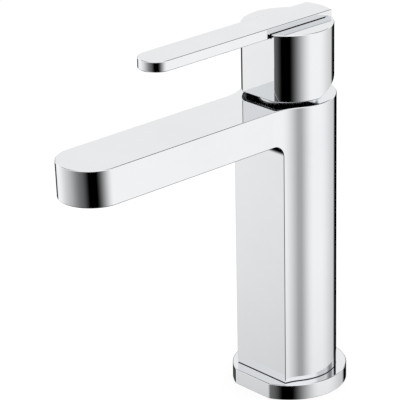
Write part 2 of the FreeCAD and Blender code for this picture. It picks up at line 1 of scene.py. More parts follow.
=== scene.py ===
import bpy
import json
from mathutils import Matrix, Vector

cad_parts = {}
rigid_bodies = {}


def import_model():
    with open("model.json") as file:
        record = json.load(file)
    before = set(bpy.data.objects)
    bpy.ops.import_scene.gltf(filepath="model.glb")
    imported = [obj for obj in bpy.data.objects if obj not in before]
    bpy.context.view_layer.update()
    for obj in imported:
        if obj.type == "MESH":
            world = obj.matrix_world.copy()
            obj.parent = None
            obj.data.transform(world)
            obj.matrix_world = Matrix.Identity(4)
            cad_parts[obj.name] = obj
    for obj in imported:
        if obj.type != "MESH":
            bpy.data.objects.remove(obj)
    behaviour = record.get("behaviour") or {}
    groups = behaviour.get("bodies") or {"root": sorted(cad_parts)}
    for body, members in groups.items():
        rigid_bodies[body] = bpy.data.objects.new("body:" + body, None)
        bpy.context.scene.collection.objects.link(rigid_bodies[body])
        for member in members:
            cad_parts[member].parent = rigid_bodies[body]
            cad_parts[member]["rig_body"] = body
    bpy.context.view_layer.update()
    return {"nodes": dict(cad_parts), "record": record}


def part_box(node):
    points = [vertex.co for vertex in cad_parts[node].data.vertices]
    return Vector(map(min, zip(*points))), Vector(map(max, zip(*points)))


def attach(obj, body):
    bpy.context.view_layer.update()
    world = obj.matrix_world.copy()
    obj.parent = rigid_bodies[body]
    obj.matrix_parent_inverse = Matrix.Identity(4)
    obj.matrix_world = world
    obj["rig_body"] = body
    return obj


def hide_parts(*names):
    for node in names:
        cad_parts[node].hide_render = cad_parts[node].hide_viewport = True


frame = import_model()

import json
import math

import bmesh
import bpy
from mathutils import Matrix, Vector

MM = 0.001

# ---- shape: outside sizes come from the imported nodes, the rest are the design's own dimensions ----
PLATE_LOW, PLATE_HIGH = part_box("base_plate")
BODY_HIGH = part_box("body_casting")[1]
HUB_LOW, HUB_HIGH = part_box("handle_hub")
LEVER_LOW, LEVER_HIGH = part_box("lever_blade")
COVER_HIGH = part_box("cartridge_cover")[1]
PLUG_LOW, PLUG_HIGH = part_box("screw_plug")
AERATOR_LOW, AERATOR_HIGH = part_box("aerator_housing")

EDGE = 0.4 * MM
SEAM_HEIGHT = 0.35 * MM
SEAM_DEPTH = 0.5 * MM
FIT_GAP = 0.1 * MM
THREAD_GAP = 0.05 * MM
COLUMN_R = 21.25 * MM
COLUMN_FRONT_Y = -17.8 * MM
SPOUT_HALF_WIDTH = 14.75 * MM
SHOULDER_Y = -17.2 * MM
PLATE_TOP = PLATE_HIGH.z
PLATE_R = 25.8 * MM
PLATE_FRONT_Y = PLATE_LOW.y
PLATE_CORNER_R = 2.5 * MM
DECK_PASSAGE_R = 15.0 * MM
SEAL_INNER_R = 19.4 * MM
SEAL_OUTER_R = 22.0 * MM
SEAL_THICKNESS = 1.6 * MM
BODY_TOP = BODY_HIGH.z
SPOUT_BOTTOM = BODY_TOP - 16.3 * MM
SPOUT_REACH = 112.5 * MM
SPOUT_TIP_DRAFT = 0.5 * MM
SHOULDER_BLEND_R = 25.0 * MM
UNDERSIDE_BLEND_R = 5.0 * MM
HOSE_CHAMBER_R = 15.5 * MM
HOSE_CHAMBER_Y = 2.0 * MM
HOSE_CHAMBER_TOP = 88.0 * MM
SPIGOT_R = 17.2 * MM
SPIGOT_BOTTOM = PLATE_TOP - 3.6 * MM
HOSE_PORT_R = 5.0 * MM
HOSE_PORT_X = 7.5 * MM
HOSE_PORT_DEPTH = 12.0 * MM
STUD_HOLE_R = 4.0 * MM
STUD_BOSS_R = 6.2 * MM
STUD_Y = 10.9 * MM
STUD_BOSS_FROM = 10.0 * MM
STUD_BOSS_TO = 26.0 * MM
CHAMBER_R = 12.6 * MM
CHAMBER_FLOOR = 110.5 * MM
HOUSING_SHOULDER = 132.0 * MM
NUT_THREAD_R = 14.0 * MM
RISER_R = 4.0 * MM
RISER_Y = -11.2 * MM
RISER_FLOOR = 111.5 * MM
THROAT_TOP = 126.5 * MM
SPOUT_WALL = 2.6 * MM
SPOUT_CAVITY_FROM_Y = -23.0 * MM
SPOUT_CAVITY_TO_Y = -98.0 * MM
AERATOR_R = 12.0 * MM
AERATOR_BORE_TOP = 131.0 * MM
AERATOR_WALL = 1.8 * MM
AERATOR_LIP_R = 8.8 * MM
AERATOR_LIP = 1.2 * MM
NOTCH_HALF_WIDTH = 1.2 * MM
HUB_R = 20.2 * MM
HUB_FRONT_Y = HUB_LOW.y
HUB_BOTTOM = HUB_LOW.z
HUB_TOP = HUB_HIGH.z
HUB_WALL = 2.2 * MM
ROOF_UNDERSIDE = 164.0 * MM
BOSS_R = 8.0 * MM
BOSS_BOTTOM = 152.0 * MM
SOCKET_HALF = 3.55 * MM
RELIEF_FROM_Y = -0.7 * MM
RELIEF_SLOPE = math.tan(math.radians(22.0))
GRUB_SCREW_Z = (PLUG_LOW.z + PLUG_HIGH.z) / 2
GRUB_SCREW_R = 2.5 * MM
PLUG_R = 3.5 * MM
PLUG_HOLE_DEPTH = 4.4 * MM
LEVER_HALF_WIDTH = 7.8 * MM
LEVER_TOP = LEVER_HIGH.z
LEVER_BOTTOM = LEVER_LOW.z
LEVER_TIP_Y = -75.7 * MM
LEVER_BACK_R = 20.7 * MM
LEVER_SLOT_HALF_WIDTH = 8.4 * MM
LEVER_SCREW_Y = 11.8 * MM
LEVER_SCREW_R = 2.0 * MM
LEVER_SCREW_TOP = 170.6 * MM
COVER_R = 14.7 * MM
COVER_WALL = 0.9 * MM
COVER_SHOULDER = 141.5 * MM
COVER_TOP_R = 12.5 * MM
COVER_TOP = COVER_HIGH.z
COVER_OPENING_R = 9.0 * MM
COVER_GRIP_R = 12.75 * MM
NUT_HEX_TOP = 140.4 * MM

# ---- fineness; a face whose normal's z is below DOWNWARD looks down ----
ARC_STEP = math.radians(2.0)
EDGE_STEPS = 4
CORNER_STEP = 6 * ARC_STEP
BLEND_STEPS = 12
TURN_STEPS = 144
PLUG_STEPS = 48
FLAG_STEPS = 48
SMOOTH_BELOW = math.radians(32.0)
DOWNWARD = -0.85
WELD = 1e-6
CLEAR = 5.0 * MM

# ---- the hollow blend between the column's flat front and the spout's underside ----
BLEND_CENTRE_Y = COLUMN_FRONT_Y - UNDERSIDE_BLEND_R
BLEND_CENTRE_Z = SPOUT_BOTTOM - UNDERSIDE_BLEND_R
BLEND_END_R = UNDERSIDE_BLEND_R + EDGE
BLEND_ANGLES = [0.5 * math.pi * i / BLEND_STEPS for i in range(BLEND_STEPS + 1)]

# ---- camera ----
CAMERA_AZIMUTH = math.radians(47.749)
CAMERA_ELEVATION = math.radians(22.143)
CAMERA_ROLL = math.radians(-1.208)
CAMERA_DISTANCE = 1068.7 * MM
CAMERA_TARGET = Vector((-26.6, -28.8, 86.76)) * MM
CAMERA_LENS = 217.0
CAMERA_SENSOR = 36.0

# ---- floor and sky ----
FLOOR_REACH = 6.0
FLOOR_GREY = 0.2
FLOOR_GLOW = 0.82
FLOOR_ROUGHNESS = 0.9
SKY_DARK_SINE = -0.72
SKY_LIGHT_SINE = -0.38
SKY_LIGHT = 0.96
ROOM_LIGHT = 1.12

# ---- where the faucet's faces mirror the camera's view to: degrees from -Y, +X is at +90 ----
FRONTS_MIRROR = -47.75
SIDES_MIRROR = 132.0
TOPS_MIRROR = -132.0
FRONT_EDGES_MIRROR = -70.0
SIDE_EDGES_MIRROR = 165.0

# ---- dark cards, in metres; the upper ones are for the walls' images in the tops ----
FLAG_DISTANCE = 0.42
FLAG_BOTTOM = -0.6
FLAG_TOP = 0.12
UPPER_FLAG_BOTTOM = 0.262
UPPER_FLAG_TOP = 0.36


# =====================================================================================
# outlines: lists of (x, y, normal x, normal y)
# =====================================================================================
def arc_run(centre, radius, start_deg, end_deg, step=ARC_STEP):
    """An arc that bulges outwards, in steps no larger than the given one."""
    start = math.radians(start_deg)
    end = math.radians(end_deg)
    count = max(2, math.ceil(abs(end - start) / step))
    run = []
    for i in range(count + 1):
        a = start + (end - start) * i / count
        c = math.cos(a)
        s = math.sin(a)
        run.append((centre[0] + radius * c, centre[1] + radius * s, c, s))
    return run


def mirrored(run):
    """The same outline on the left, in the opposite order."""
    return [(-x, y, -nx, ny) for x, y, nx, ny in reversed(run)]


def ring_at(run, z, inset=0.0):
    """The outline's points at one height, moved in along their normals."""
    return [Vector((x - nx * inset, y - ny * inset, z)) for x, y, nx, ny in run]


def rounding(radius=EDGE):
    """(inset, drop) pairs that go round an edge, from the side wall to the flat end."""
    pairs = []
    for i in range(1, EDGE_STEPS + 1):
        a = 0.5 * math.pi * i / EDGE_STEPS
        pairs.append((radius * (1 - math.cos(a)), radius * (1 - math.sin(a))))
    return pairs


# =====================================================================================
# meshes
# =====================================================================================
class Shell:
    """Gathers faces by their corner points, then welds them into one closed mesh."""

    def __init__(self):
        self.bm = bmesh.new()

    def face(self, points):
        kept = [p for i, p in enumerate(points) if (p - points[i - 1]).length > WELD]
        if len(kept) > 2:
            self.bm.faces.new([self.bm.verts.new(p) for p in kept])

    def strip(self, rows, closed):
        for low, high in zip(rows, rows[1:]):
            count = len(low)
            for i in range(count if closed else count - 1):
                j = (i + 1) % count
                self.face([low[i], low[j], high[j], high[i]])

    def build(self, name, *materials):
        bmesh.ops.remove_doubles(self.bm, verts=self.bm.verts, dist=WELD)
        bmesh.ops.recalc_face_normals(self.bm, faces=self.bm.faces)
        mesh = bpy.data.meshes.new(name)
        self.bm.to_mesh(mesh)
        self.bm.free()
        for material in materials:
            mesh.materials.append(material)
        piece = bpy.data.objects.new(name, mesh)
        bpy.context.scene.collection.objects.link(piece)
        return piece


def prism(name, run, levels, *materials):
    """A closed solid: the outline at each (z, inset) level, capped at both ends."""
    rows = [ring_at(run, z, inset) for z, inset in levels]
    shell = Shell()
    shell.strip(rows, closed=True)
    shell.face(rows[0])
    shell.face(rows[-1])
    return shell.build(name, *materials)


def rounded_levels(bottom, top, bottom_radius=EDGE):
    """The (z, inset) levels of a slab whose upper and lower edges are rounded."""
    levels = [(bottom + drop, inset) for inset, drop in reversed(rounding(bottom_radius))]
    levels.append((bottom + bottom_radius, 0.0))
    levels.append((top - EDGE, 0.0))
    levels += [(top - drop, inset) for inset, drop in rounding()]
    return levels


def turned(name, profile, *materials, centre=(0.0, 0.0), ring=False):
    """A solid of revolution; a ring's profile closes on itself, a plain one is capped."""
    rows = []
    for radius, z in profile:
        rows.append([
            Vector((
                centre[0] + radius * math.cos(2 * math.pi * i / TURN_STEPS),
                centre[1] + radius * math.sin(2 * math.pi * i / TURN_STEPS),
                z,
            ))
            for i in range(TURN_STEPS)
        ])
    shell = Shell()
    if ring:
        rows.append(rows[0])
    else:
        shell.face(rows[0])
        shell.face(rows[-1])
    shell.strip(rows, closed=True)
    return shell.build(name, *materials)


def drill(radius, z_from, z_to, x, y, material, mouth_low=0.0, mouth_high=0.0):
    """A cutter for a round hole, with a small flare where it leaves the metal."""
    profile = []
    if mouth_low:
        profile += [(radius + mouth_low, z_from - CLEAR), (radius + mouth_low, z_from)]
        profile.append((radius, z_from + mouth_low))
    else:
        profile.append((radius, z_from))
    if mouth_high:
        profile.append((radius, z_to - mouth_high))
        profile += [(radius + mouth_high, z_to), (radius + mouth_high, z_to + CLEAR)]
    else:
        profile.append((radius, z_to))
    return turned("cutter", profile, material, centre=(x, y))


def box_cutter(half_width, y_from, y_to, z_from, z_to, material):
    low = [Vector((-half_width, y_from, z_from)), Vector((half_width, y_from, z_from)),
           Vector((half_width, y_to, z_from)), Vector((-half_width, y_to, z_from))]
    rise = Vector((0.0, 0.0, z_to - z_from))
    high = [p + rise for p in low]
    shell = Shell()
    shell.strip([low, high], closed=True)
    shell.face(low)
    shell.face(high)
    return shell.build("cutter", material)


def combine(piece, others, operation="DIFFERENCE"):
    """Applies exact booleans in turn, and removes the other solids."""
    for other in others:
        step = piece.modifiers.new("combine", "BOOLEAN")
        step.operation = operation
        step.solver = "EXACT"
        step.object = other
        step.material_mode = "TRANSFER"
    depsgraph = bpy.context.evaluated_depsgraph_get()
    mesh = bpy.data.meshes.new_from_object(piece.evaluated_get(depsgraph))
    piece.modifiers.clear()
    old = piece.data
    name = old.name
    piece.data = mesh
    bpy.data.meshes.remove(old)
    mesh.name = name
    for other in others:
        spare = other.data
        bpy.data.objects.remove(other)
        bpy.data.meshes.remove(spare)


def polish(piece):
    """Smooth shading with true flat faces: sharp edges by angle, normals weighted by area."""
    mesh = piece.data
    bm = bmesh.new()
    bm.from_mesh(mesh)
    bmesh.ops.remove_doubles(bm, verts=bm.verts, dist=WELD)
    bm.to_mesh(mesh)
    bm.free()
    mesh.shade_smooth()
    mesh.set_sharp_from_angle(angle=SMOOTH_BELOW)
    weigh = piece.modifiers.new("weighted_normals", "WEIGHTED_NORMAL")
    weigh.keep_sharp = True
    weigh.weight = 100


def finish_piece(piece, body, slot, *nodes):
    polish(piece)
    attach(piece, body)
    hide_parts(*nodes)


# =====================================================================================
# materials
# =====================================================================================
class Tree:
    """The node tree of a material or a world, with short calls for its arithmetic."""

    def __init__(self, owner):
        owner.use_nodes = True
        self.nodes = owner.node_tree.nodes
        self.links = owner.node_tree.links

    def math(self, operation, a, b):
        node = self.nodes.new("ShaderNodeMath")
        node.operation = operation
        for socket, value in zip(node.inputs, (a, b)):
            if isinstance(value, float):
                socket.default_value = value
            else:
                self.links.new(value, socket)
        return node.outputs["Value"]

    def ramp(self, value, start, end, low=0.0, high=1.0):
        """Eases from low to high as the value goes from start to end, and stays there."""
        node = self.nodes.new("ShaderNodeMapRange")
        node.interpolation_type = "SMOOTHSTEP"
        node.inputs["From Min"].default_value = start
        node.inputs["From Max"].default_value = end
        node.inputs["To Min"].default_value = low
        node.inputs["To Max"].default_value = high
        self.links.new(value, node.inputs["Value"])
        return node.outputs["Result"]

    def split(self, vector):
        node = self.nodes.new("ShaderNodeSeparateXYZ")
        self.links.new(vector, node.inputs[0])
        return node.outputs["X"], node.outputs["Y"], node.outputs["Z"]


class Recipe(Tree):
    """A node material around one Principled shader, with short calls for its parts."""

    def __init__(self, name, metallic=0.0, specular=0.5):
        self.material = bpy.data.materials.new(name)
        super().__init__(self.material)
        self.shader = self.nodes["Principled BSDF"]
        self.shader.inputs["Metallic"].default_value = metallic
        self.shader.inputs["Specular IOR Level"].default_value = specular
        self.place = self.nodes.new("ShaderNodeTexCoord").outputs["Object"]

    def stretched(self, x, y, z):
        node = self.nodes.new("ShaderNodeMapping")
        node.inputs["Scale"].default_value = (x, y, z)
        self.links.new(self.place, node.inputs["Vector"])
        return node.outputs["Vector"]

    def noise(self, scale, detail=3.0, roughness=0.5, vector=None, distortion=0.0):
        node = self.nodes.new("ShaderNodeTexNoise")
        node.inputs["Scale"].default_value = scale
        node.inputs["Detail"].default_value = detail
        node.inputs["Roughness"].default_value = roughness
        node.inputs["Distortion"].default_value = distortion
        self.links.new(vector or self.place, node.inputs["Vector"])
        return node.outputs["Fac"]

    def cells(self, scale):
        node = self.nodes.new("ShaderNodeTexVoronoi")
        node.inputs["Scale"].default_value = scale
        self.links.new(self.place, node.inputs["Vector"])
        return node.outputs["Distance"]

    def rings(self, scale, distortion):
        """Fine circles about the upright axis, as a lathe leaves."""
        node = self.nodes.new("ShaderNodeTexWave")
        node.wave_type = "RINGS"
        node.rings_direction = "Z"
        node.inputs["Scale"].default_value = scale
        node.inputs["Distortion"].default_value = distortion
        node.inputs["Detail"].default_value = 2.0
        self.links.new(self.place, node.inputs["Vector"])
        return node.outputs["Fac"]

    def span(self, value, low, high, from_low=0.0, from_high=1.0):
        node = self.nodes.new("ShaderNodeMapRange")
        node.inputs["From Min"].default_value = from_low
        node.inputs["From Max"].default_value = from_high
        node.inputs["To Min"].default_value = low
        node.inputs["To Max"].default_value = high
        self.links.new(value, node.inputs["Value"])
        return node.outputs["Result"]

    def joined(self, a, b):
        return self.math("ADD", a, b)

    def colours(self, value, *stops):
        node = self.nodes.new("ShaderNodeValToRGB")
        ramp = node.color_ramp
        while len(ramp.elements) < len(stops):
            ramp.elements.new(0.5)
        for element, (place, colour) in zip(ramp.elements, stops):
            element.position = place
            element.color = (*colour, 1.0)
        self.links.new(value, node.inputs["Fac"])
        self.links.new(node.outputs["Color"], self.shader.inputs["Base Color"])

    def rough(self, value):
        self.links.new(value, self.shader.inputs["Roughness"])

    def bump(self, height, depth):
        node = self.nodes.new("ShaderNodeBump")
        node.inputs["Distance"].default_value = depth
        self.links.new(height, node.inputs["Height"])
        self.links.new(node.outputs["Normal"], self.shader.inputs["Normal"])


def shade(colour, factor):
    return tuple(channel * factor for channel in colour)


def chrome_plate():
    """Polished plating: almost a mirror, with faint wiping haze, hairlines and slow waves."""
    m = Recipe("chrome_plate", metallic=1.0)
    haze = m.noise(38.0, detail=4.0, roughness=0.6)
    hairlines = m.noise(900.0, detail=2.0, vector=m.stretched(1.0, 0.12, 0.35))
    wiped = m.span(haze, 0.012, 0.034, from_low=0.35, from_high=0.7)
    m.rough(m.joined(wiped, m.span(hairlines, 0.0, 0.022, from_low=0.5, from_high=0.8)))
    m.colours(haze, (0.3, (0.885, 0.902, 0.922)), (0.7, (0.915, 0.926, 0.940)))
    m.bump(m.noise(55.0, detail=1.0), 0.004 * MM)
    return m.material


def raw_brass():
    """Sand-cast brass, machined where it was bored: mottled, with fine tool circles."""
    m = Recipe("raw_brass", metallic=1.0)
    mottle = m.noise(120.0, detail=6.0, roughness=0.62)
    grains = m.noise(2600.0, detail=2.0)
    tool = m.rings(420.0, 1.5)
    m.colours(
        mottle, (0.3, (0.50, 0.33, 0.14)), (0.55, (0.70, 0.50, 0.23)), (0.75, (0.78, 0.60, 0.32))
    )
    m.rough(m.joined(m.span(mottle, 0.30, 0.46), m.span(grains, 0.0, 0.1)))
    m.bump(m.joined(m.joined(grains, tool), mottle), 0.02 * MM)
    return m.material


def stainless_steel():
    """Drawn stainless: streaks along one direction over a slow tint."""
    m = Recipe("stainless_steel", metallic=1.0)
    drawn = m.noise(1500.0, detail=3.0, vector=m.stretched(0.08, 1.0, 1.0))
    tint = m.noise(90.0, detail=4.0)
    m.colours(tint, (0.35, (0.50, 0.49, 0.48)), (0.65, (0.62, 0.61, 0.60)))
    m.rough(m.joined(m.span(drawn, 0.20, 0.40), m.span(tint, 0.0, 0.05)))
    m.bump(drawn, 0.008 * MM)
    return m.material


def blackened_steel():
    """Oxide-blacked steel, and the bare inside of the hub, where this black is partly painted shade: a
    mottled satin black.
    """
    m = Recipe("blackened_steel", metallic=1.0)
    oxide = m.noise(420.0, detail=5.0, roughness=0.65)
    m.colours(
        oxide, (0.35, (0.035, 0.036, 0.042)), (0.6, (0.07, 0.07, 0.078)), (0.72, (0.16, 0.155, 0.15))
    )
    m.rough(m.span(oxide, 0.34, 0.52))
    m.bump(m.noise(3000.0), 0.006 * MM)
    return m.material


def moulded(name, colour):
    """Moulded plastic: a fine spark-eroded grain with slow flow marks."""
    m = Recipe(name, specular=0.45)
    flow = m.noise(70.0, detail=3.0, distortion=0.8)
    grain = m.noise(5200.0, detail=2.0)
    m.colours(flow, (0.3, shade(colour, 0.93)), (0.7, shade(colour, 1.04)))
    m.rough(m.joined(m.span(flow, 0.36, 0.44), m.span(grain, 0.0, 0.1)))
    m.bump(grain, 0.012 * MM)
    m.shader.inputs["Subsurface Weight"].default_value = 0.05
    m.shader.inputs["Subsurface Scale"].default_value = 0.8 * MM
    return m.material


def epdm_rubber():
    """Matte black rubber with a grey bloom and fine pores."""
    m = Recipe("epdm_rubber", specular=0.3)
    bloom = m.noise(150.0, detail=5.0, roughness=0.6)
    pores = m.cells(2600.0)
    m.colours(bloom, (0.35, (0.018, 0.018, 0.019)), (0.7, (0.05, 0.05, 0.052)))
    m.rough(m.joined(m.span(bloom, 0.62, 0.8), m.span(pores, 0.0, 0.12)))
    m.bump(m.joined(pores, bloom), 0.02 * MM)
    return m.material


def alumina_ceramic():
    """A lapped ceramic: off-white with grey grains, and a silky sheen."""
    m = Recipe("alumina_ceramic", specular=0.6)
    grain = m.noise(1800.0, detail=4.0, roughness=0.7)
    m.colours(
        grain, (0.28, (0.70, 0.68, 0.63)), (0.42, (0.86, 0.84, 0.79)), (0.75, (0.91, 0.90, 0.86))
    )
    m.rough(m.span(grain, 0.16, 0.30))
    m.bump(m.noise(6000.0), 0.002 * MM)
    return m.material


def make_materials():
    """One material for each of the record's slots; plastics take their colours from it."""
    made = {
        "chrome_plate": chrome_plate(),
        "raw_brass": raw_brass(),
        "stainless_steel": stainless_steel(),
        "blackened_steel": blackened_steel(),
        "epdm_rubber": epdm_rubber(),
        "alumina_ceramic": alumina_ceramic(),
    }
    for row in frame["record"]["materials"]:
        if row["slot"] not in made:
            made[row["slot"]] = moulded(row["slot"], row["base_color"])
    return made


# =====================================================================================
# the body: one casting, column and spout
# =====================================================================================
class Shoulder:
    """The hollow curve on the right side, from the spout's side to the round back."""

    def __init__(self):
        corner = Vector((SPOUT_HALF_WIDTH, SHOULDER_Y))
        self.tangent_angle = math.atan2(corner.y, corner.x) + math.acos(COLUMN_R / corner.length)
        self.turn = -self.tangent_angle
        self.start_y = corner.y - SHOULDER_BLEND_R * math.tan(self.turn / 2)

    def point(self, turned_by):
        """The outline's point where the curve has turned that far from the spout's side."""
        c = math.cos(turned_by)
        s = math.sin(turned_by)
        x = SPOUT_HALF_WIDTH + SHOULDER_BLEND_R * (1 - c)
        return x, self.start_y + SHOULDER_BLEND_R * s, c, -s

    def turned_at(self, y):
        return math.asin((y - self.start_y) / SHOULDER_BLEND_R)


def neck_run(curve):
    """The stretch above the blend under the spout, from the spout's side to the column's."""
    run = []
    for a in reversed(BLEND_ANGLES):
        run.append(curve.point(curve.turned_at(BLEND_CENTRE_Y + BLEND_END_R * math.cos(a))))
    run[0] = (run[0][0], run[0][1], 1.0, 0.0)
    return run


def rear_run(curve, corner):
    """From the flat front's edge along the hollow curve and round the back."""
    from_turn = curve.turned_at(corner[1])
    steps = math.ceil((curve.turn - from_turn) / ARC_STEP)
    run = [corner]
    for i in range(1, steps + 1):
        run.append(curve.point(from_turn + (curve.turn - from_turn) * i / steps))
    return run + arc_run((0, 0), COLUMN_R, math.degrees(curve.tangent_angle), 90.0)


def spout_run(curve, junction):
    """From the neck along the spout's side and round its tip."""
    return [junction, curve.point(0.0)] + arc_run((0, -SPOUT_REACH), SPOUT_HALF_WIDTH, 0.0, -90.0)


def flip(ring):
    return [Vector((-p.x, p.y, p.z)) for p in reversed(ring)]


def rear_row(run, z, inset):
    right = ring_at(run, z, inset)
    return right + flip(right)[1:]


def spout_row(run, start_y, z, inset):
    """One level of the spout; its tip leans back towards the underside."""
    right = ring_at(run, z, inset)
    for p in right:
        share = max(0.0, (start_y - p.y) / (start_y + SPOUT_REACH))
        p.y += SPOUT_TIP_DRAFT * min(1.0, share) * (BODY_TOP - z) / (BODY_TOP - SPOUT_BOTTOM)
    return right + flip(right)[1:]


def front_row(curve, angle):
    """Across the column's front face, or across its hollow blend into the underside."""
    end = curve.point(curve.turned_at(BLEND_CENTRE_Y + BLEND_END_R * math.cos(angle)))
    ring = []
    for i in range(EDGE_STEPS + 1):
        a = 0.5 * math.pi * (1 - i / EDGE_STEPS)
        drop = EDGE * (1 - math.sin(a))
        radius = UNDERSIDE_BLEND_R + drop
        ring.append(Vector((
            end[0] - EDGE * (1 - math.cos(a)),
            BLEND_CENTRE_Y + radius * math.cos(angle),
            BLEND_CENTRE_Z + radius * math.sin(angle),
        )))
    return flip(ring) + ring


def body_shell(chrome):
    """The closed outside: one plan all the way up, cut back to a flat front below the spout."""
    curve = Shoulder()
    neck = neck_run(curve)
    rear = rear_run(curve, neck[-1])
    spout = spout_run(curve, neck[0])
    lower = [(PLATE_TOP, 0.0), (BLEND_CENTRE_Z, 0.0)]
    upper = [(SPOUT_BOTTOM + EDGE, 0.0), (BODY_TOP - EDGE, 0.0)]
    upper += [(BODY_TOP - drop, inset) for inset, drop in rounding()]
    under = [(SPOUT_BOTTOM + drop, inset) for inset, drop in reversed(rounding())]

    fronts = [front_row(curve, a) for a in BLEND_ANGLES]
    foot = [Vector((p.x, p.y, PLATE_TOP)) for p in fronts[0]]
    rears = [rear_row(rear, z, inset) for z, inset in lower + upper]
    necks = [ring_at(neck, z, inset) for z, inset in upper]
    spouts = [spout_row(spout, curve.start_y, z, inset) for z, inset in under + upper]
    blend_side = [row[-1] for row in reversed(fronts)]

    shell = Shell()
    shell.strip([foot] + fronts, closed=False)
    shell.strip(rears, closed=False)
    shell.strip(necks, closed=False)
    shell.strip([flip(row) for row in necks], closed=False)
    shell.strip(spouts, closed=False)
    shell.strip([blend_side, necks[0]], closed=False)
    shell.strip([flip(blend_side), flip(necks[0])], closed=False)
    shell.face(rears[0] + foot[1:-1])
    shell.face(spouts[0])
    shell.face(rears[-1] + flip(necks[-1])[1:-1] + list(reversed(spouts[-1])) + necks[-1][1:-1])
    return shell.build("body", chrome)


def hose_chamber_cutters(brass):
    """The chamber in the column, less the boss for the fixing stud, and the stud's hole."""
    boss = turned(
        "boss", [(STUD_BOSS_R, STUD_BOSS_FROM), (STUD_BOSS_R, STUD_BOSS_TO)], brass,
        centre=(0.0, STUD_Y),
    )
    web = box_cutter(STUD_BOSS_R, STUD_Y, COLUMN_R, STUD_BOSS_FROM, STUD_BOSS_TO, brass)
    chamber = drill(
        HOSE_CHAMBER_R, SPIGOT_BOTTOM, HOSE_CHAMBER_TOP, 0.0, HOSE_CHAMBER_Y, brass, mouth_low=EDGE
    )
    combine(chamber, [boss, web])
    stud = drill(STUD_HOLE_R, STUD_BOSS_FROM, STUD_BOSS_TO - EDGE, 0.0, STUD_Y, brass, mouth_low=EDGE)
    return [chamber, stud]


def bore_cutters(brass):
    """The cartridge's chamber with the nut's thread, the riser, the aerator's bore and the inlets."""
    cutters = [
        turned("cutter", [
            (CHAMBER_R, CHAMBER_FLOOR), (CHAMBER_R, HOUSING_SHOULDER),
            (NUT_THREAD_R, HOUSING_SHOULDER), (NUT_THREAD_R, BODY_TOP + CLEAR),
        ], brass),
        drill(RISER_R, RISER_FLOOR, THROAT_TOP, 0.0, RISER_Y, brass),
        drill(AERATOR_R, SPOUT_BOTTOM, AERATOR_BORE_TOP, 0.0, -SPOUT_REACH, brass, mouth_low=EDGE / 2),
    ]
    for side in (-1, 1):
        cutters.append(drill(
            HOSE_PORT_R, HOSE_CHAMBER_TOP, HOSE_CHAMBER_TOP + HOSE_PORT_DEPTH,
            side * HOSE_PORT_X, 0.0, brass, mouth_low=EDGE,
        ))
    return cutters


def seam_cutter(dark):
    """The shadow gap round the column's foot: a slab less the column's core. Its walls take the black
    rubber finish as painted shade in the gap between column and plate.
    """
    slab = box_cutter(PLATE_R, -PLATE_R, PLATE_R, PLATE_TOP - EDGE, PLATE_TOP + SEAM_HEIGHT, dark)
    core_r = COLUMN_R - SEAM_DEPTH
    core = turned("core", [(core_r, PLATE_TOP - CLEAR), (core_r, PLATE_TOP + CLEAR)], dark)
    front_y = COLUMN_FRONT_Y + SEAM_DEPTH
    combine(core, [
        box_cutter(PLATE_R, -PLATE_R, front_y, PLATE_TOP - 2 * CLEAR, PLATE_TOP + 2 * CLEAR, dark)
    ])
    combine(slab, [core])
    return slab


def spout_cutters(brass):
    """The waterway in the spout: its throat, its straight run and its round end."""
    floor_z = SPOUT_BOTTOM + SPOUT_WALL
    roof_z = BODY_TOP - SPOUT_WALL
    tip_half = AERATOR_R - AERATOR_WALL
    tip = arc_run((0, -SPOUT_REACH), tip_half, 0.0, -90.0)
    tip.insert(0, (tip_half, SPOUT_CAVITY_TO_Y + EDGE, 1.0, 0.0))
    return [
        box_cutter(RISER_R, SPOUT_CAVITY_FROM_Y - EDGE, RISER_Y, floor_z, THROAT_TOP, brass),
        box_cutter(
            SPOUT_HALF_WIDTH - SPOUT_WALL, SPOUT_CAVITY_TO_Y, SPOUT_CAVITY_FROM_Y,
            floor_z, roof_z, brass,
        ),
        prism(
            "cutter", tip[::-1] + mirrored(tip[::-1])[:-1],
            [(AERATOR_BORE_TOP - EDGE, 0.0), (roof_z, 0.0)], brass,
        ),
    ]


def body_casting(chrome, brass, dark):
    body = body_shell(chrome)
    spigot = turned(
        "cutter", [(SPIGOT_R, SPIGOT_BOTTOM), (SPIGOT_R, PLATE_TOP + CLEAR)], brass,
        centre=(0.0, HOSE_CHAMBER_Y),
    )
    combine(body, [spigot], "UNION")
    cutters = hose_chamber_cutters(brass) + bore_cutters(brass)
    # the seam's walls take the black rubber finish: painted shade between column and plate
    cutters.append(seam_cutter(dark))
    combine(body, cutters + spout_cutters(brass))
    finish_piece(body, "root", "chrome_plate", "body_casting")


def plate_outline():
    """Round at the back, flat at the front, with small round corners between."""
    centre_y = PLATE_FRONT_Y + PLATE_CORNER_R
    centre_x = math.sqrt((PLATE_R - PLATE_CORNER_R) ** 2 - centre_y ** 2)
    meet = math.degrees(math.atan2(centre_y, centre_x))
    run = arc_run((centre_x, centre_y), PLATE_CORNER_R, -90.0, meet, step=3 * ARC_STEP)
    run += arc_run((0, 0), PLATE_R, meet, 90.0)[1:]
    return run + mirrored(run)[1:]


def base_plate(chrome):
    plate = prism(
        "rose", plate_outline(), rounded_levels(0.0, PLATE_TOP, bottom_radius=EDGE / 2), chrome
    )
    groove = turned("cutter", [
        (SEAL_INNER_R, -CLEAR), (SEAL_OUTER_R, -CLEAR),
        (SEAL_OUTER_R, SEAL_THICKNESS), (SEAL_INNER_R, SEAL_THICKNESS),
    ], chrome, ring=True)
    flare = EDGE / 2
    combine(plate, [
        drill(DECK_PASSAGE_R, 0.0, PLATE_TOP, 0.0, 0.0, chrome, mouth_low=flare, mouth_high=flare),
        drill(
            SPIGOT_R + FIT_GAP, SPIGOT_BOTTOM, PLATE_TOP, 0.0, HOSE_CHAMBER_Y, chrome,
            mouth_high=flare,
        ),
        groove,
    ])
    finish_piece(plate, "root", "chrome_plate", "base_plate")


